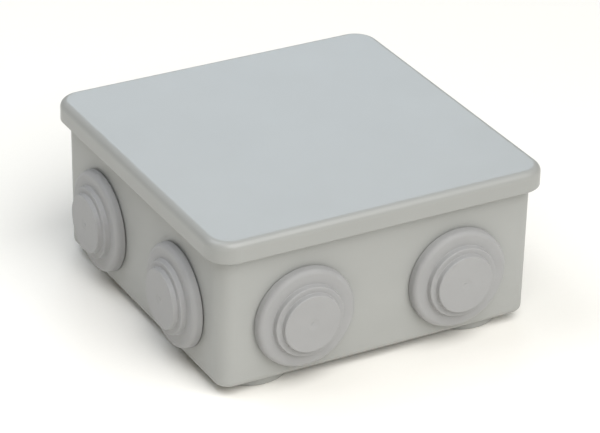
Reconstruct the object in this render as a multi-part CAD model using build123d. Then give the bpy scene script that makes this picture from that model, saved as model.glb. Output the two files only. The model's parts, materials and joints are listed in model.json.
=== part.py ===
from build123d import *
import math
import os

# Square surface-mounted junction box: a drafted base on four round pads, a press-on lid
# with a seal, eight stepped cable grommets, and a five-pole screw terminal strip inside.
# Millimetres, +Z out of the lid. The origin is the middle of the plane the pads stand on.

# --- Driving dimensions ---------------------------------------------------------------

# Heights
PAD_HEIGHT = 2.7
BODY_HEIGHT = 47.4              # underside of the floor to the top of the lid
OVERALL_HEIGHT = PAD_HEIGHT + BODY_HEIGHT

# Lid
LID_SIDE = 106.0
LID_CORNER_RADIUS = 7.4
LID_SKIRT_HEIGHT = 6.3
LID_SKIRT_WALL = 1.95
LID_PLATE = 2.2
LID_EDGE_RADIUS = 2.2           # rounding between the top and the skirt
LID_LIP_RADIUS = 0.4            # rounding of the skirt's lower edges
LOCATING_RIB_WALL = 1.2
LOCATING_RIB_DEPTH = 4.0

# Seal between the lid and the rim
GASKET_THICKNESS = 1.6
GASKET_SIDE_GAP = 0.1
RIM_TO_GASKET_GAP = 0.05

# Base
BASE_SIDE_AT_SKIRT = 100.2      # outer width where the lid's skirt ends
BASE_CORNER_RADIUS = 4.6
BASE_BOTTOM_RADIUS = 2.0
DRAFT_ANGLE = 0.47
WALL = 2.0
FLOOR = 2.0
CAVITY_CORNER_RADIUS = 3.0
CAVITY_FLOOR_RADIUS = 1.0
RIM_FLANGE_HEIGHT = 2.15
LID_FIT_GAP = 0.15              # rim flange to the inside of the skirt
LOCATING_RIB_GAP = 0.2          # locating rib to the inside of the wall

# Pads underneath, with a wall-fixing hole through each
PAD_RADIUS = 12.0
PAD_EDGE_RADIUS = 0.5
FIXING_SPACING_X = 69.0
FIXING_SPACING_Y = 71.0
FIXING_HOLE_RADIUS = 2.25
COLLAR_RADIUS = 7.0
COLLAR_HEIGHT = 7.3
SCREW_SEAT_ABOVE_FLOOR = 0.3
COLLAR_BORE_RADIUS = 4.6

# Caps over the fixing screws
CAP_HEAD_RADIUS = 6.6
CAP_HEAD_THICKNESS = 1.2
CAP_PLUG_LENGTH = 2.5
CAP_PLUG_WALL = 1.0
CAP_FIT_GAP = 0.05
CAP_EDGE_RADIUS = 0.4
CAP_NOTCH_RADIUS = 1.2

# Cable grommets, measured out from the wall's outer face
GROMMET_HOLE_RADIUS = 12.5
GROMMET_PITCH = 49.1
GROMMET_HEIGHT_ABOVE_FLOOR = 18.5
GROMMET_SEAT_GAP = 0.02
GROMMET_NECK_GAP = 0.05
FLANGE_RADIUS_AT_WALL = 15.35
FLANGE_RADIUS_AT_FACE = 15.1
FLANGE_FACE = 3.2
FLANGE_EDGE_RADIUS = 1.5
FLANGE_RIM_LIFT = 0.3           # the flange is dished, so its rim stands off the wall
STEP_BASE_RADIUS = 10.95
STEP_RADIUS = 10.7
STEP_FACE = 4.8
DISC_BASE_RADIUS = 9.0
DISC_RADIUS = 8.8
DISC_FACE = 6.3
GROMMET_SKIN = 1.3
INNER_LIP_RADIUS = 13.4
INNER_LIP_LENGTH = 1.7
GATE_DIMPLE_RADIUS = 1.8
GATE_DIMPLE_DEPTH = 0.15
GATE_STUB_RADIUS = 0.5
GATE_STUB_HEIGHT = 0.1

# Terminal strip
POLES = 3
POLE_PITCH = 12.0
POST_RADIUS = 3.6
POST_HEIGHT = 5.0
TUBE_RADIUS = 4.3
TUBE_LENGTH = 20.0
WEB_WIDTH = 11.0
WEB_THICKNESS = 3.0
CHIMNEY_RADIUS = 3.7
CHIMNEY_OFFSET = 5.2
CHIMNEY_TOP = 14.3              # above the strip's underside
CHIMNEY_BORE_RADIUS = 2.65
BARREL_RADIUS = 3.1
BARREL_LENGTH = 18.0
WIRE_BORE_RADIUS = 2.1
CLAMP_SHANK_RADIUS = 1.6
CLAMP_SHANK_LENGTH = 3.8
CLAMP_TIP_ABOVE_BORE = 0.1      # the screws are loosened, so the bore is free
CLAMP_HEAD_RADIUS = 2.5
CLAMP_HEAD_HEIGHT = 2.0
SLOT_WIDTH = 0.7
SLOT_DEPTH = 1.0
STRIP_SCREW_SHANK_RADIUS = 1.45
STRIP_SCREW_SHANK_LENGTH = 7.0
STRIP_SCREW_HEAD_RADIUS = 2.4
STRIP_SCREW_HEAD_HEIGHT = 1.8
RUNNING_GAP = 0.05

# --- Sizes that follow ----------------------------------------------------------------

DRAFT_SLOPE = math.tan(math.radians(DRAFT_ANGLE))
SKIRT_BOTTOM = OVERALL_HEIGHT - LID_SKIRT_HEIGHT
PLATE_UNDERSIDE = OVERALL_HEIGHT - LID_PLATE
RIM_TOP = PLATE_UNDERSIDE - GASKET_THICKNESS - RIM_TO_GASKET_GAP
FLOOR_TOP = PAD_HEIGHT + FLOOR
GROMMET_HEIGHT = PAD_HEIGHT + GROMMET_HEIGHT_ABOVE_FLOOR
SKIRT_INNER_SIDE = LID_SIDE - 2 * LID_SKIRT_WALL
SKIRT_INNER_CORNER_RADIUS = LID_CORNER_RADIUS - LID_SKIRT_WALL
COLLAR_TOP = FLOOR_TOP + COLLAR_HEIGHT
SCREW_SEAT = FLOOR_TOP + SCREW_SEAT_ABOVE_FLOOR
STRIP_UNDERSIDE = FLOOR_TOP + POST_HEIGHT
TUBE_AXIS = STRIP_UNDERSIDE + TUBE_RADIUS
POLE_XS = [(pole - (POLES - 1) / 2) * POLE_PITCH for pole in range(POLES)]
STRIP_SCREW_XS = [(POLE_XS[0] + POLE_XS[1]) / 2, (POLE_XS[-2] + POLE_XS[-1]) / 2]
CLAMP_SHANK_BOTTOM = TUBE_AXIS + WIRE_BORE_RADIUS + CLAMP_TIP_ABOVE_BORE
OVERSHOOT = 1.0                 # how far a cutting tool runs past the face it cuts

# Outward direction of each side, and the names of its two grommets, left one first
# as seen from outside.
SIDES = {
    "front": ((0, -1), ("left", "right")),
    "right": ((1, 0), ("front", "back")),
    "back": ((0, 1), ("right", "left")),
    "left": ((-1, 0), ("back", "front")),
}


def outer_half_width(height):
    """Half the base's outer width at a height; the walls lean out by the draft."""
    return BASE_SIDE_AT_SKIRT / 2 + (height - SKIRT_BOTTOM) * DRAFT_SLOPE


RIB_BOTTOM = PLATE_UNDERSIDE - LOCATING_RIB_DEPTH
RIB_SIDE = 2 * (outer_half_width(RIB_BOTTOM) - WALL - LOCATING_RIB_GAP)


def upright(radius, bottom, top):
    """Vertical cylinder on the Z axis between two heights."""
    return Pos(0, 0, bottom) * extrude(Circle(radius), top - bottom)


def square_block(side, corner_radius, bottom, top, lean=0.0):
    """Rounded square block between two heights; lean is the draft of its sides."""
    outline = Pos(0, 0, bottom) * RectangleRounded(side, side, corner_radius)
    return extrude(outline, top - bottom, taper=-lean)


def fixing_places():
    """The four places of the wall-fixing holes, left ones first."""
    half_x, half_y = FIXING_SPACING_X / 2, FIXING_SPACING_Y / 2
    return [Pos(x, y, 0) for x in (-half_x, half_x) for y in (-half_y, half_y)]


def wall_place(outward, along):
    """Place on a side wall's outer face at grommet height, with Z out of the wall."""
    out_x, out_y = outward
    distance = outer_half_width(GROMMET_HEIGHT)
    tangent = Vector(-out_y, out_x, 0)
    origin = Vector(out_x, out_y, 0) * distance + tangent * along + Vector(0, 0, GROMMET_HEIGHT)
    return Plane(origin, x_dir=tangent, z_dir=(out_x, out_y, -DRAFT_SLOPE))


def grommet_places():
    """Name of each grommet with its place on the wall."""
    places = {}
    for side, (outward, positions) in SIDES.items():
        for position, along in zip(positions, (-GROMMET_PITCH / 2, GROMMET_PITCH / 2)):
            places[f"grommet_{side}_{position}"] = wall_place(outward, along)
    return places


def base_housing():
    """Drafted open box with rim flange, pads, fixing collars, terminal posts and wall holes."""
    shell = square_block(
        2 * outer_half_width(PAD_HEIGHT), BASE_CORNER_RADIUS, PAD_HEIGHT, RIM_TOP, DRAFT_ANGLE
    )
    shell = fillet(shell.edges().group_by(Axis.Z)[0], BASE_BOTTOM_RADIUS)
    flange_side = SKIRT_INNER_SIDE - 2 * LID_FIT_GAP
    shell += square_block(
        flange_side, SKIRT_INNER_CORNER_RADIUS, RIM_TOP - RIM_FLANGE_HEIGHT, RIM_TOP
    )
    pad = upright(PAD_RADIUS, 0, FLOOR_TOP)
    pad = fillet(pad.edges().group_by(Axis.Z)[0], PAD_EDGE_RADIUS)
    for place in fixing_places():
        shell += place * pad

    cavity = square_block(
        2 * (outer_half_width(FLOOR_TOP) - WALL),
        CAVITY_CORNER_RADIUS,
        FLOOR_TOP,
        RIM_TOP + OVERSHOOT,
        DRAFT_ANGLE,
    )
    shell -= fillet(cavity.edges().group_by(Axis.Z)[0], CAVITY_FLOOR_RADIUS)

    collar = upright(COLLAR_RADIUS, FLOOR_TOP, COLLAR_TOP)
    fixing_hole = upright(FIXING_HOLE_RADIUS, -OVERSHOOT, COLLAR_TOP + OVERSHOOT)
    fixing_hole += upright(COLLAR_BORE_RADIUS, SCREW_SEAT, COLLAR_TOP + OVERSHOOT)
    for place in fixing_places():
        shell += place * collar
        shell -= place * fixing_hole

    post = upright(POST_RADIUS, FLOOR_TOP, STRIP_UNDERSIDE)
    pilot_bottom = STRIP_UNDERSIDE + WEB_THICKNESS - STRIP_SCREW_SHANK_LENGTH - RUNNING_GAP
    pilot = upright(STRIP_SCREW_SHANK_RADIUS + RUNNING_GAP, pilot_bottom, STRIP_UNDERSIDE)
    for x in STRIP_SCREW_XS:
        shell += Pos(x, 0, 0) * post
        shell -= Pos(x, 0, 0) * pilot

    wall_hole = upright(GROMMET_HOLE_RADIUS, -WALL - OVERSHOOT, OVERSHOOT)
    for place in grommet_places().values():
        shell -= place * wall_hole
    return shell


def lid():
    """Press-on cover: plate, overhanging skirt and the rib that locates it in the base."""
    cover = square_block(LID_SIDE, LID_CORNER_RADIUS, SKIRT_BOTTOM, OVERALL_HEIGHT)
    cover = fillet(cover.edges().group_by(Axis.Z)[-1], LID_EDGE_RADIUS)
    cover = fillet(cover.edges().group_by(Axis.Z)[0], LID_LIP_RADIUS)
    cover -= square_block(
        SKIRT_INNER_SIDE, SKIRT_INNER_CORNER_RADIUS, SKIRT_BOTTOM - OVERSHOOT, PLATE_UNDERSIDE
    )
    rib = square_block(RIB_SIDE, CAVITY_CORNER_RADIUS, RIB_BOTTOM, PLATE_UNDERSIDE)
    rib -= square_block(
        RIB_SIDE - 2 * LOCATING_RIB_WALL,
        CAVITY_CORNER_RADIUS - LOCATING_RIB_WALL,
        RIB_BOTTOM - OVERSHOOT,
        PLATE_UNDERSIDE + OVERSHOOT,
    )
    return cover + rib


def lid_gasket():
    """Flat square seal in the groove between the skirt and the locating rib."""
    bottom = PLATE_UNDERSIDE - GASKET_THICKNESS
    ring = square_block(
        SKIRT_INNER_SIDE - 2 * GASKET_SIDE_GAP,
        SKIRT_INNER_CORNER_RADIUS - GASKET_SIDE_GAP,
        bottom,
        PLATE_UNDERSIDE,
    )
    return ring - square_block(
        RIB_SIDE + 2 * GASKET_SIDE_GAP,
        CAVITY_CORNER_RADIUS + GASKET_SIDE_GAP,
        bottom - OVERSHOOT,
        PLATE_UNDERSIDE + OVERSHOOT,
    )


def grommet():
    """Stepped membrane grommet about Z, with Z = 0 on the wall's outer face."""
    lip_face = -WALL - GROMMET_SEAT_GAP
    lip_end = lip_face - INNER_LIP_LENGTH
    neck_radius = GROMMET_HOLE_RADIUS - GROMMET_NECK_GAP
    outline = [
        ((0, DISC_FACE), 0),
        ((DISC_RADIUS, DISC_FACE), 0.4),
        ((DISC_BASE_RADIUS, STEP_FACE), 0.2),
        ((STEP_RADIUS, STEP_FACE), 0.4),
        ((STEP_BASE_RADIUS, FLANGE_FACE), 0.2),
        ((FLANGE_RADIUS_AT_FACE, FLANGE_FACE), FLANGE_EDGE_RADIUS),
        ((FLANGE_RADIUS_AT_WALL, FLANGE_RIM_LIFT), 0.3),
        ((neck_radius, GROMMET_SEAT_GAP), 0),
        ((neck_radius, lip_face), 0),
        ((INNER_LIP_RADIUS, lip_face), 0.3),
        ((INNER_LIP_RADIUS - 0.9, lip_end), 0.4),
        ((STEP_RADIUS, lip_end), 0.3),
        ((STEP_RADIUS, FLANGE_FACE - GROMMET_SKIN), 0),
        ((STEP_RADIUS - GROMMET_SKIN, FLANGE_FACE - GROMMET_SKIN), 0),
        ((STEP_RADIUS - GROMMET_SKIN, STEP_FACE - GROMMET_SKIN), 0),
        ((DISC_RADIUS - GROMMET_SKIN, STEP_FACE - GROMMET_SKIN), 0),
        ((DISC_RADIUS - GROMMET_SKIN, DISC_FACE - GROMMET_SKIN), 0.3),
        ((0, DISC_FACE - GROMMET_SKIN), 0),
    ]
    points = [point for point, _ in outline]
    radii = [radius for _, radius in outline]
    half_section = Plane.XZ * make_face(FilletPolyline(*points, radius=radii, close=True))
    body = revolve(half_section, Axis.Z)
    dimple_floor = DISC_FACE - GATE_DIMPLE_DEPTH
    sphere_radius = (GATE_DIMPLE_RADIUS**2 / GATE_DIMPLE_DEPTH + GATE_DIMPLE_DEPTH) / 2
    body -= Pos(0, 0, dimple_floor + sphere_radius) * Sphere(sphere_radius)
    stub_bottom = dimple_floor - GATE_STUB_HEIGHT
    return body + upright(GATE_STUB_RADIUS, stub_bottom, dimple_floor + GATE_STUB_HEIGHT)


def fixing_screw_cap():
    """Push-in cap over a fixing screw: round head, hollow plug and two notches to lift it by."""
    cap = upright(CAP_HEAD_RADIUS, COLLAR_TOP, COLLAR_TOP + CAP_HEAD_THICKNESS)
    cap = fillet(cap.edges().group_by(Axis.Z)[-1], CAP_EDGE_RADIUS)
    plug_radius = COLLAR_BORE_RADIUS - CAP_FIT_GAP
    cap += upright(plug_radius, COLLAR_TOP - CAP_PLUG_LENGTH, COLLAR_TOP)
    cap -= upright(plug_radius - CAP_PLUG_WALL, COLLAR_TOP - CAP_PLUG_LENGTH, COLLAR_TOP)
    notch = upright(CAP_NOTCH_RADIUS, COLLAR_TOP, COLLAR_TOP + CAP_HEAD_THICKNESS)
    return cap - Pos(CAP_HEAD_RADIUS, 0, 0) * notch - Pos(-CAP_HEAD_RADIUS, 0, 0) * notch


def along_y(radius, length):
    """Cylinder along Y through the tube axis height, centred on the origin."""
    return Pos(0, 0, TUBE_AXIS) * Rot(90, 0, 0) * Cylinder(radius, length)


def terminal_body():
    """Insulating strip: a tube and two screw chimneys for each pole, joined by webs."""
    web_length = POLE_XS[-1] - POLE_XS[0]
    strip = Box(web_length, WEB_WIDTH, WEB_THICKNESS)
    strip = Pos(0, 0, STRIP_UNDERSIDE + WEB_THICKNESS / 2) * strip
    chimney = upright(CHIMNEY_RADIUS, TUBE_AXIS, STRIP_UNDERSIDE + CHIMNEY_TOP)
    foot = Pos(0, 0, STRIP_UNDERSIDE + TUBE_RADIUS / 2) * Box(TUBE_RADIUS, TUBE_LENGTH, TUBE_RADIUS)
    chimney_bore = upright(CHIMNEY_BORE_RADIUS, TUBE_AXIS, OVERALL_HEIGHT)
    for x in POLE_XS:
        strip += Pos(x, 0, 0) * (along_y(TUBE_RADIUS, TUBE_LENGTH) + foot)
        for y in (-CHIMNEY_OFFSET, CHIMNEY_OFFSET):
            strip += Pos(x, y, 0) * chimney
    for x in POLE_XS:
        strip -= Pos(x, 0, 0) * along_y(BARREL_RADIUS + RUNNING_GAP, TUBE_LENGTH + 2 * OVERSHOOT)
        for y in (-CHIMNEY_OFFSET, CHIMNEY_OFFSET):
            strip -= Pos(x, y, 0) * chimney_bore
    screw_hole = upright(
        STRIP_SCREW_SHANK_RADIUS + RUNNING_GAP, STRIP_UNDERSIDE - OVERSHOOT, TUBE_AXIS
    )
    head_room = upright(
        STRIP_SCREW_HEAD_RADIUS + RUNNING_GAP, STRIP_UNDERSIDE + WEB_THICKNESS, OVERALL_HEIGHT
    )
    for x in STRIP_SCREW_XS:
        strip -= Pos(x, 0, 0) * (screw_hole + head_room)
    return strip


def terminal_barrel():
    """Brass barrel of one pole, with a bore for the wires and two tapped holes."""
    barrel = along_y(BARREL_RADIUS, BARREL_LENGTH)
    barrel -= along_y(WIRE_BORE_RADIUS, BARREL_LENGTH + 2 * OVERSHOOT)
    tapped_hole = upright(CLAMP_SHANK_RADIUS + RUNNING_GAP, TUBE_AXIS, OVERALL_HEIGHT)
    for y in (-CHIMNEY_OFFSET, CHIMNEY_OFFSET):
        barrel -= Pos(0, y, 0) * tapped_hole
    return barrel


def slotted_screw(shank_radius, head_radius, head_height, shank_bottom, shank_length):
    """Slotted cheese-head screw on the Z axis, its slot along Y."""
    head_bottom = shank_bottom + shank_length
    head_top = head_bottom + head_height
    head = upright(head_radius, head_bottom, head_top)
    head = fillet(head.edges().group_by(Axis.Z)[-1], head_height / 5)
    shank = upright(shank_radius, shank_bottom, head_bottom)
    shank = chamfer(shank.edges().group_by(Axis.Z)[0], shank_radius / 5)
    slot = Box(SLOT_WIDTH, 2 * head_radius, SLOT_DEPTH)
    return head + shank - Pos(0, 0, head_top - SLOT_DEPTH / 2) * slot


def clamp_screw():
    """Screw that clamps a wire in a barrel."""
    return slotted_screw(
        CLAMP_SHANK_RADIUS,
        CLAMP_HEAD_RADIUS,
        CLAMP_HEAD_HEIGHT,
        CLAMP_SHANK_BOTTOM,
        CLAMP_SHANK_LENGTH,
    )


def strip_screw():
    """Screw that holds the terminal strip on its post."""
    return slotted_screw(
        STRIP_SCREW_SHANK_RADIUS,
        STRIP_SCREW_HEAD_RADIUS,
        STRIP_SCREW_HEAD_HEIGHT,
        STRIP_UNDERSIDE + WEB_THICKNESS - STRIP_SCREW_SHANK_LENGTH,
        STRIP_SCREW_SHANK_LENGTH,
    )


def all_parts():
    """Every piece of the box in its place, by node name."""
    parts = {"base_housing": base_housing(), "lid": lid(), "lid_gasket": lid_gasket()}
    one_grommet = grommet()
    for name, place in grommet_places().items():
        parts[name] = place * one_grommet
    corner_names = ("front_left", "back_left", "front_right", "back_right")
    for name, place in zip(corner_names, fixing_places()):
        parts[f"screw_cap_{name}"] = place * fixing_screw_cap()
    parts["terminal_body"] = terminal_body()
    for number, x in enumerate(POLE_XS, start=1):
        parts[f"terminal_barrel_{number}"] = Pos(x, 0, 0) * terminal_barrel()
        for row, y in (("front", -CHIMNEY_OFFSET), ("back", CHIMNEY_OFFSET)):
            parts[f"clamp_screw_{number}_{row}"] = Pos(x, y, 0) * clamp_screw()
    for side, x in zip(("left", "right"), STRIP_SCREW_XS):
        parts[f"strip_screw_{side}"] = Pos(x, 0, 0) * strip_screw()
    return parts


os.makedirs("parts", exist_ok=True)
for node, shape in all_parts().items():
    export_step(shape, f"parts/{node}.step")
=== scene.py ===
import json
import math

import bpy
from mathutils import Matrix, Vector


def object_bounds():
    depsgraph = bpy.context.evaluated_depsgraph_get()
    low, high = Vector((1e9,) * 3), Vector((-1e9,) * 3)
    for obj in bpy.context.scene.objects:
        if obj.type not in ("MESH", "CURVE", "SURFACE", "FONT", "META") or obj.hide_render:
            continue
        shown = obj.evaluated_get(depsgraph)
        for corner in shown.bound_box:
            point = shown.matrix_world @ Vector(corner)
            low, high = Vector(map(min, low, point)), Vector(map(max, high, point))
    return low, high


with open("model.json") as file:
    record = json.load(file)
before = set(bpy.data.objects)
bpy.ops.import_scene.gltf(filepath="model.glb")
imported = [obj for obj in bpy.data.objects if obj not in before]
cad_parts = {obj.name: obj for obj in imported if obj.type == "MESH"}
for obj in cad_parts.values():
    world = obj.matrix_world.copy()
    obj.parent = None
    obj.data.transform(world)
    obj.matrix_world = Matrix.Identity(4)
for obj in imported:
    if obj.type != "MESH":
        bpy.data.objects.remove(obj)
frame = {"nodes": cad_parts, "record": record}
cad_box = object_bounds()

MM = 0.001
BOX_MIDDLE = Vector((0, 0, cad_box[1].z / 2))

# Camera: angles in degrees, and the lens and its sensor's width in millimetres. The aim is
# off the middle of the box by these amounts, along the picture's own axes.
CAMERA_AZIMUTH = -29.16
CAMERA_ELEVATION = 28.13
CAMERA_ROLL = 1.2
CAMERA_DISTANCE = 877.3 * MM
AIM_RIGHT = 1.54 * MM
AIM_UP = -2.68 * MM
LENS = 180.35
SENSOR_WIDTH = 36

FLOOR_HALF_WIDTH = 3.0
GLOSS_SPREAD = 0.015
IOR_PLASTIC = 1.5
IOR_RUBBER = 1.48


# --- Node materials -------------------------------------------------------------------

class Shader:
    """A node material in the making. Textures use object coordinates, in metres."""

    def __init__(self, name):
        self.material = bpy.data.materials.new(name)
        self.material.use_nodes = True
        self.tree = self.material.node_tree
        self.surface = self.tree.nodes["Principled BSDF"]
        self.coordinates = self.tree.nodes.new("ShaderNodeTexCoord").outputs["Object"]

    def node(self, kind, settings=None, **inputs):
        """Adds a node; settings are its properties, and inputs its sockets by name."""
        made = self.tree.nodes.new(kind)
        for key, value in (settings or {}).items():
            setattr(made, key, value)
        for key, value in inputs.items():
            self.plug(made.inputs[key.replace("_", " ")], value)
        return made

    def plug(self, socket, value):
        """Links an output to a socket, or sets the socket to a constant."""
        if isinstance(value, bpy.types.NodeSocket):
            self.tree.links.new(value, socket)
        else:
            socket.default_value = value

    def set(self, **inputs):
        """Sets or links the principled shader's own sockets."""
        for key, value in inputs.items():
            self.plug(self.surface.inputs[key.replace("_", " ")], value)

    def noise(self, size, detail=2.0, roughness=0.5, stretch=None):
        """Noise from 0 to 1 whose features are about this many metres across."""
        vector = self.coordinates
        if stretch:
            mapping = self.node("ShaderNodeMapping", Vector=vector, Scale=stretch)
            vector = mapping.outputs["Vector"]
        texture = self.node(
            "ShaderNodeTexNoise", Vector=vector, Scale=1 / size, Detail=detail, Roughness=roughness
        )
        return texture.outputs["Fac"]

    def ramp(self, value, low, high, to_low, to_high):
        """Maps low..high onto to_low..to_high, clamped."""
        made = self.node(
            "ShaderNodeMapRange",
            Value=value, From_Min=low, From_Max=high, To_Min=to_low, To_Max=to_high,
        )
        return made.outputs["Result"]

    def math(self, operation, first, second):
        """One arithmetic step."""
        made = self.node("ShaderNodeMath", {"operation": operation})
        self.plug(made.inputs[0], first)
        self.plug(made.inputs[1], second)
        return made.outputs["Value"]

    def mix(self, amount, first, second):
        """Colour between first and second."""
        made = self.node("ShaderNodeMix", {"data_type": "RGBA"})
        self.plug(made.inputs["Factor"], amount)
        # The node also has number and vector sockets called A, B and Result: these are its colours.
        self.plug(made.inputs[6], first)
        self.plug(made.inputs[7], second)
        return made.outputs[2]

    def bump(self, layers):
        """Stacks bumps: each layer is a height from 0 to 1 and its depth in metres."""
        normal = None
        for height, depth in layers:
            made = self.node("ShaderNodeBump", Height=height, Strength=1.0, Distance=depth)
            if normal is not None:
                self.plug(made.inputs["Normal"], normal)
            normal = made.outputs["Normal"]
        self.set(Normal=normal)


def srgb(red, green, blue):
    """Linear colour of an 8-bit screen colour."""
    def linear(value):
        value /= 255
        return value / 12.92 if value <= 0.04045 else ((value + 0.055) / 1.055) ** 2.4
    return (linear(red), linear(green), linear(blue), 1.0)


def moulded_plastic(name, light, dark, roughness, grain_depth):
    """Satin moulded thermoplastic: faint flow marks, fine spark-eroded grain, uneven gloss."""
    shader = Shader(name)
    flow = shader.noise(28 * MM, detail=3, stretch=(1.0, 1.0, 2.2))
    speck = shader.noise(0.5 * MM, detail=2)
    flow_share = shader.ramp(flow, 0.3, 0.7, 0, 0.75)
    speck_share = shader.ramp(speck, 0.3, 0.7, 0, 0.25)
    amount = shader.math("ADD", flow_share, speck_share)
    shader.set(Base_Color=shader.mix(amount, dark, light))
    patches = shader.noise(9 * MM, detail=5, roughness=0.6)
    dull, glossy = roughness + GLOSS_SPREAD, roughness - GLOSS_SPREAD
    shader.set(Roughness=shader.ramp(patches, 0.3, 0.75, dull, glossy))
    shader.bump([
        (shader.noise(22 * MM, detail=1), 0.05 * MM),
        (shader.noise(0.35 * MM, detail=2, roughness=0.6), grain_depth),
    ])
    shader.set(IOR=IOR_PLASTIC)
    return shader.material


def soft_rubber(name, light, dark):
    """Soft moulded elastomer with a slight bloom, duller than the plastic around it."""
    shader = Shader(name)
    bloom = shader.noise(6 * MM, detail=4)
    speck = shader.noise(0.3 * MM)
    bloom_share = shader.ramp(bloom, 0.3, 0.7, 0, 0.7)
    speck_share = shader.ramp(speck, 0.3, 0.7, 0, 0.3)
    amount = shader.math("ADD", bloom_share, speck_share)
    shader.set(Base_Color=shader.mix(amount, dark, light))
    shader.set(Roughness=shader.ramp(bloom, 0.3, 0.7, 0.5, 0.62))
    shader.bump([
        (shader.noise(5 * MM, detail=1), 0.02 * MM),
        (shader.noise(0.2 * MM, detail=2), 0.006 * MM),
    ])
    shader.set(IOR=IOR_RUBBER, Sheen_Weight=0.08, Sheen_Roughness=0.5)
    return shader.material


def foam_seal(name):
    """Black closed-cell foam rubber with a cell pattern."""
    shader = Shader(name)
    cells = shader.node("ShaderNodeTexVoronoi", Vector=shader.coordinates, Scale=1 / (0.35 * MM))
    shade = shader.ramp(cells.outputs["Distance"], 0.0, 0.6, 0, 1)
    shader.set(Base_Color=shader.mix(shade, srgb(30, 30, 32), srgb(52, 52, 54)), Roughness=0.85)
    shader.bump([(cells.outputs["Distance"], 0.05 * MM)])
    return shader.material


def metal(name, light, dark, roughness, grain, stretch):
    """Machined or plated metal with tool marks and slight staining."""
    shader = Shader(name)
    stain = shader.noise(2.5 * MM, detail=5, roughness=0.65)
    stained = shader.ramp(stain, 0.35, 0.7, 0, 1)
    shader.set(Base_Color=shader.mix(stained, dark, light), Metallic=1.0)
    marks = shader.noise(grain, detail=2, stretch=stretch)
    shader.set(Roughness=shader.ramp(marks, 0.3, 0.7, roughness - 0.06, roughness + 0.1))
    shader.bump([(marks, 0.01 * MM)])
    return shader.material


MATERIALS = {
    "housing_plastic": moulded_plastic(
        "housing_plastic",
        light=srgb(167, 168, 165),
        dark=srgb(163, 164, 161),
        roughness=0.42,
        grain_depth=0.012 * MM,
    ),
    # The lid is the housing's plastic set a shade darker: painted shade that offsets the stronger light
    # and sheen on the lid top.
    "lid_plastic": moulded_plastic(
        "lid_plastic",
        light=srgb(161, 162, 159),
        dark=srgb(158, 159, 156),
        roughness=0.32,
        grain_depth=0.010 * MM,
    ),
    "cap_plastic": moulded_plastic(
        "cap_plastic",
        light=srgb(166, 167, 165),
        dark=srgb(161, 162, 160),
        roughness=0.45,
        grain_depth=0.012 * MM,
    ),
    "terminal_plastic": moulded_plastic(
        "terminal_plastic",
        light=srgb(226, 222, 208),
        dark=srgb(216, 211, 196),
        roughness=0.38,
        grain_depth=0.008 * MM,
    ),
    "grommet_rubber": soft_rubber("grommet_rubber", light=srgb(163, 163, 163), dark=srgb(158, 158, 158)),
    "seal_rubber": foam_seal("seal_rubber"),
    "barrel_brass": metal(
        "barrel_brass",
        light=srgb(226, 192, 116),
        dark=srgb(190, 150, 84),
        roughness=0.28,
        grain=0.12 * MM,
        stretch=(1.0, 12.0, 1.0),
    ),
    "screw_steel": metal(
        "screw_steel",
        light=srgb(206, 206, 202),
        dark=srgb(172, 173, 172),
        roughness=0.3,
        grain=0.15 * MM,
        stretch=(1.0, 1.0, 6.0),
    ),
}

for part in frame["record"]["subparts"]:
    piece = frame["nodes"][part["node"]]
    piece.data.materials.clear()
    piece.data.materials.append(MATERIALS[part["material_slot"]])


# --- Floor, light and camera ----------------------------------------------------------

def pale_floor():
    """Wide white sheet under the box."""
    half = FLOOR_HALF_WIDTH
    mesh = bpy.data.meshes.new("floor")
    corners = [(-half, -half, 0), (half, -half, 0), (half, half, 0), (-half, half, 0)]
    mesh.from_pydata(corners, [], [(0, 1, 2, 3)])
    floor = bpy.data.objects.new("floor", mesh)
    bpy.context.scene.collection.objects.link(floor)
    shader = Shader("floor_paper")
    fibre = shader.noise(1.5 * MM, detail=3)
    shader.set(Base_Color=shader.mix(fibre, (0.95, 0.93, 0.88, 1), (0.97, 0.95, 0.9, 1)))
    shader.set(Roughness=0.9, Specular_IOR_Level=0.2)
    floor.data.materials.append(shader.material)


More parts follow.
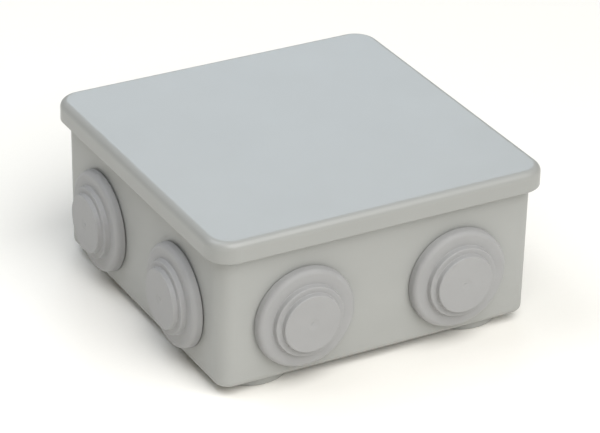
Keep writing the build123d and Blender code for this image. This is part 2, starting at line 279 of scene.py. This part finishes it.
def softbox(name, place, size, power, colour):
    """Square area light at a place, aimed at the middle of the box: metres and watts."""
    data = bpy.data.lights.new(name, "AREA")
    data.size = size
    data.energy = power
    data.color = colour
    light = bpy.data.objects.new(name, data)
    bpy.context.scene.collection.objects.link(light)
    light.location = place
    aim = BOX_MIDDLE - Vector(place)
    light.rotation_euler = aim.to_track_quat("-Z", "Y").to_euler()


def studio():
    """Large key light high in front, a cooler one over the left side, and a weak one behind."""
    world = bpy.data.worlds.new("studio")
    world.use_nodes = True
    background = world.node_tree.nodes["Background"]
    background.inputs["Color"].default_value = (1.0, 0.96, 0.86, 1)
    background.inputs["Strength"].default_value = 0.2
    bpy.context.scene.world = world
    softbox("key", place=(0.08, -0.96, 1.24), size=1.5, power=27.6, colour=(1.0, 1.0, 1.0))
    softbox("top", place=(-0.34, 0.2, 0.72), size=0.5, power=2.3, colour=(0.86, 0.91, 1.0))
    softbox("back", place=(0.7, 1.3, 0.8), size=0.7, power=4.0, colour=(0.72, 0.86, 1.0))


def photograph_camera():
    """Long lens from the front left corner, looking down on the lid."""
    azimuth = math.radians(CAMERA_AZIMUTH)
    elevation = math.radians(CAMERA_ELEVATION)
    roll = math.radians(CAMERA_ROLL)
    back = Vector((
        math.sin(azimuth) * math.cos(elevation),
        -math.cos(azimuth) * math.cos(elevation),
        math.sin(elevation),
    ))
    level_right = Vector((math.cos(azimuth), math.sin(azimuth), 0))
    level_up = back.cross(level_right)
    right = math.cos(roll) * level_right + math.sin(roll) * level_up
    up = -math.sin(roll) * level_right + math.cos(roll) * level_up
    aim = BOX_MIDDLE + AIM_RIGHT * right + AIM_UP * up
    data = bpy.data.cameras.new("camera")
    data.lens = LENS
    data.sensor_width = SENSOR_WIDTH
    data.clip_start = 0.01
    data.clip_end = 20
    camera = bpy.data.objects.new("camera", data)
    bpy.context.scene.collection.objects.link(camera)
    axes = Matrix((right, up, back)).transposed().to_4x4()
    camera.matrix_world = Matrix.Translation(aim + CAMERA_DISTANCE * back) @ axes
    bpy.context.scene.camera = camera


pale_floor()
studio()
photograph_camera()
bpy.context.scene.view_settings.view_transform = "Standard"
